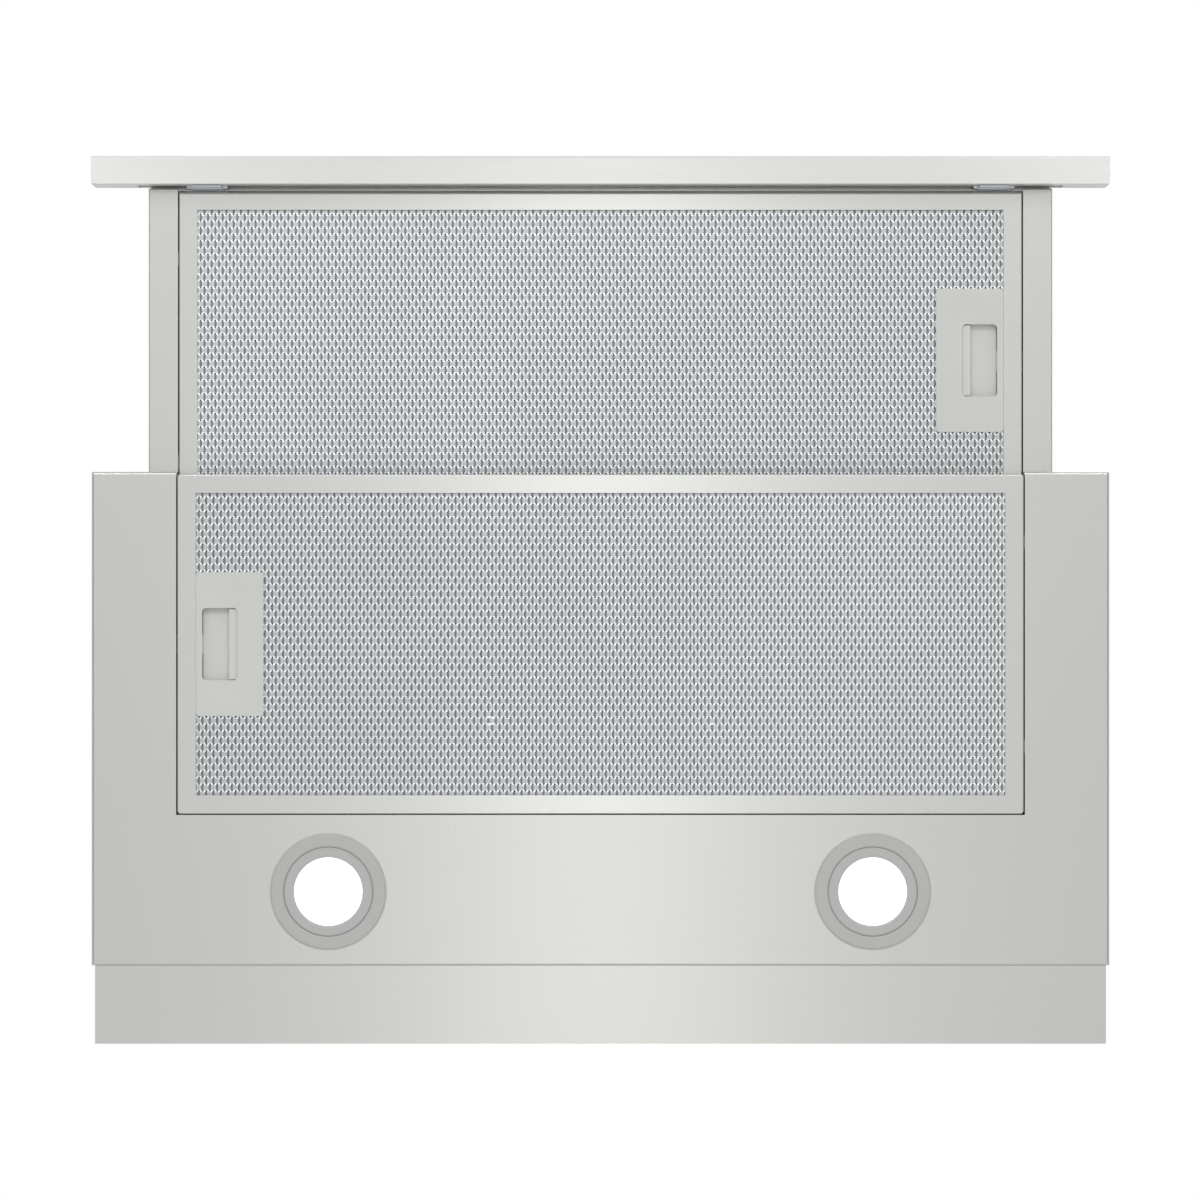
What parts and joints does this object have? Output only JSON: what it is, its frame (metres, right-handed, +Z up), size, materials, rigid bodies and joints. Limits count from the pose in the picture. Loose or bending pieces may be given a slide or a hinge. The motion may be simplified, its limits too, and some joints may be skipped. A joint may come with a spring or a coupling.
{
  "type": "telescopic range hood",
  "caption": "Slim under-cabinet range hood whose filter drawer slides out behind a brushed front bar, with swing-down grease filters, recessed lamps and a fan housing on top.",
  "frame": {"origin": "middle of the cabinet screw pattern, on the face that meets the cabinet's underside", "axes": "+Z up, -Y towards the front bar and the user, +X along the front bar, in metres; the drawer is stored pulled out"},
  "size_m": [0.598, 0.5211, 0.242],
  "materials": {
    "bar_steel": "brushed along its length",
    "silver_paint": "satin silver",
    "galvanised": "zinc coated",
    "filter_edge": "satin",
    "filter_mesh": "satin",
    "handle_plastic": "satin grey",
    "latch_plastic": "satin grey",
    "spring_wire": "bright",
    "clip_plastic": "pale",
    "lamp_trim": "silver grey",
    "lamp_lens": "frosted white",
    "lamp_can": "cast",
    "fan_plastic": "black",
    "motor_shell": "cast",
    "shaft_steel": "ground",
    "capacitor_plastic": "white",
    "collar_plastic": "black",
    "box_plastic": "dark grey",
    "driver_plastic": "white",
    "board_green": "laminate",
    "screw_zinc": "zinc plated",
    "runner_zinc": "zinc plated",
    "magnet_black": "sintered",
    "switch_black": "dark",
    "knob_silver": "silver"
  },
  "bodies": {
    "hood_body": {"tray_shell": "silver_paint", "tray_top": "galvanised", "housing_cover": "galvanised", "left_side_plate": "galvanised", "right_side_plate": "galvanised", "volute_left": "fan_plastic", "volute_right": "fan_plastic", "motor": "motor_shell", "motor_bracket": "galvanised", "capacitor": "capacitor_plastic", "outlet_collar": "collar_plastic", "flap_pin": "shaft_steel", "terminal_box": "box_plastic", "terminal_box_lid": "box_plastic", "circuit_board": "board_green", "lamp_driver": "driver_plastic", "mains_gland": "box_plastic", "drawer_sensor": "box_plastic", "left_lamp_ring": "lamp_trim", "left_lamp_bezel": "lamp_trim", "left_lamp_lens": "lamp_lens", "left_lamp_can": "lamp_can", "right_lamp_ring": "lamp_trim", "right_lamp_bezel": "lamp_trim", "right_lamp_lens": "lamp_lens", "right_lamp_can": "lamp_can", "filler_strip": "silver_paint", "body_screws": "screw_zinc", "left_runner_outer": "runner_zinc", "right_runner_outer": "runner_zinc"},
    "drawer": {"drawer_frame": "silver_paint", "drawer_roof": "silver_paint", "front_bar": "bar_steel", "bar_core": "bar_steel", "left_bar_clip": "clip_plastic", "right_bar_clip": "clip_plastic", "drawer_screws": "screw_zinc", "switch_bezel": "switch_black", "switch_block": "switch_black", "left_runner_inner": "runner_zinc", "right_runner_inner": "runner_zinc", "sensor_magnet": "magnet_black", "drawer_filter_frame": "filter_edge", "drawer_filter_mesh": "filter_mesh", "drawer_filter_handle": "handle_plastic", "drawer_filter_spring": "spring_wire"},
    "drawer_latch": {"drawer_filter_latch": "latch_plastic"},
    "body_filter": {"body_filter_frame": "filter_edge", "body_filter_mesh": "filter_mesh", "body_filter_handle": "handle_plastic", "body_filter_spring": "spring_wire"},
    "body_latch": {"body_filter_latch": "latch_plastic"},
    "fan_rotor": {"impeller": "fan_plastic", "motor_shaft": "shaft_steel"},
    "front_flap": {"front_flap": "collar_plastic"},
    "rear_flap": {"rear_flap": "collar_plastic"},
    "light_slider": {"light_slider": "knob_silver"},
    "fan_slider": {"fan_slider": "knob_silver"},
    "left_ball_cage": {"left_ball_cage": "runner_zinc"},
    "right_ball_cage": {"right_ball_cage": "runner_zinc"}
  },
  "joints": [
    {"name": "drawer_slide", "type": "slide", "parent": "hood_body", "child": "drawer", "axis": [0, 1, 0], "range_m": [0, 0.166]},
    {"name": "left_cage_slide", "type": "slide", "parent": "hood_body", "child": "left_ball_cage", "axis": [0, 1, 0], "range_m": [0, 0.083]},
    {"name": "right_cage_slide", "type": "slide", "parent": "hood_body", "child": "right_ball_cage", "axis": [0, 1, 0], "range_m": [0, 0.083]},
    {"name": "body_filter_swing", "type": "hinge", "parent": "hood_body", "child": "body_filter", "pos_m": [0.24875, -0.0438, -0.041], "axis": [0, -1, 0], "range_deg": [0, 75]},
    {"name": "body_latch_slide", "type": "slide", "parent": "body_filter", "child": "body_latch", "axis": [1, 0, 0], "range_m": [0, 0.005], "stiffness_N_per_m": 400, "springref_m": -0.002, "deforming": ["body_filter_spring"]},
    {"name": "drawer_latch_slide", "type": "slide", "parent": "drawer", "child": "drawer_latch", "axis": [-1, 0, 0], "range_m": [0, 0.005], "stiffness_N_per_m": 400, "springref_m": -0.002, "deforming": ["drawer_filter_spring"]},
    {"name": "impeller_spin", "type": "hinge", "parent": "hood_body", "child": "fan_rotor", "pos_m": [0, -0.032, 0.076], "axis": [1, 0, 0], "continuous": true},
    {"name": "front_flap_hinge", "type": "hinge", "parent": "hood_body", "child": "front_flap", "pos_m": [0, 0.005, 0.17], "axis": [-1, 0, 0], "range_deg": [0, 78]},
    {"name": "rear_flap_hinge", "type": "hinge", "parent": "hood_body", "child": "rear_flap", "pos_m": [0, 0.005, 0.17], "axis": [1, 0, 0], "range_deg": [0, 78]},
    {"name": "light_switch_slide", "type": "slide", "parent": "drawer", "child": "light_slider", "axis": [1, 0, 0], "range_m": [0, 0.008]},
    {"name": "fan_switch_slide", "type": "slide", "parent": "drawer", "child": "fan_slider", "axis": [1, 0, 0], "range_m": [0, 0.024]}
  ],
  "couplings": [
    {"joint": "left_cage_slide", "follows": "drawer_slide", "ratio": 0.5},
    {"joint": "right_cage_slide", "follows": "drawer_slide", "ratio": 0.5}
  ]
}
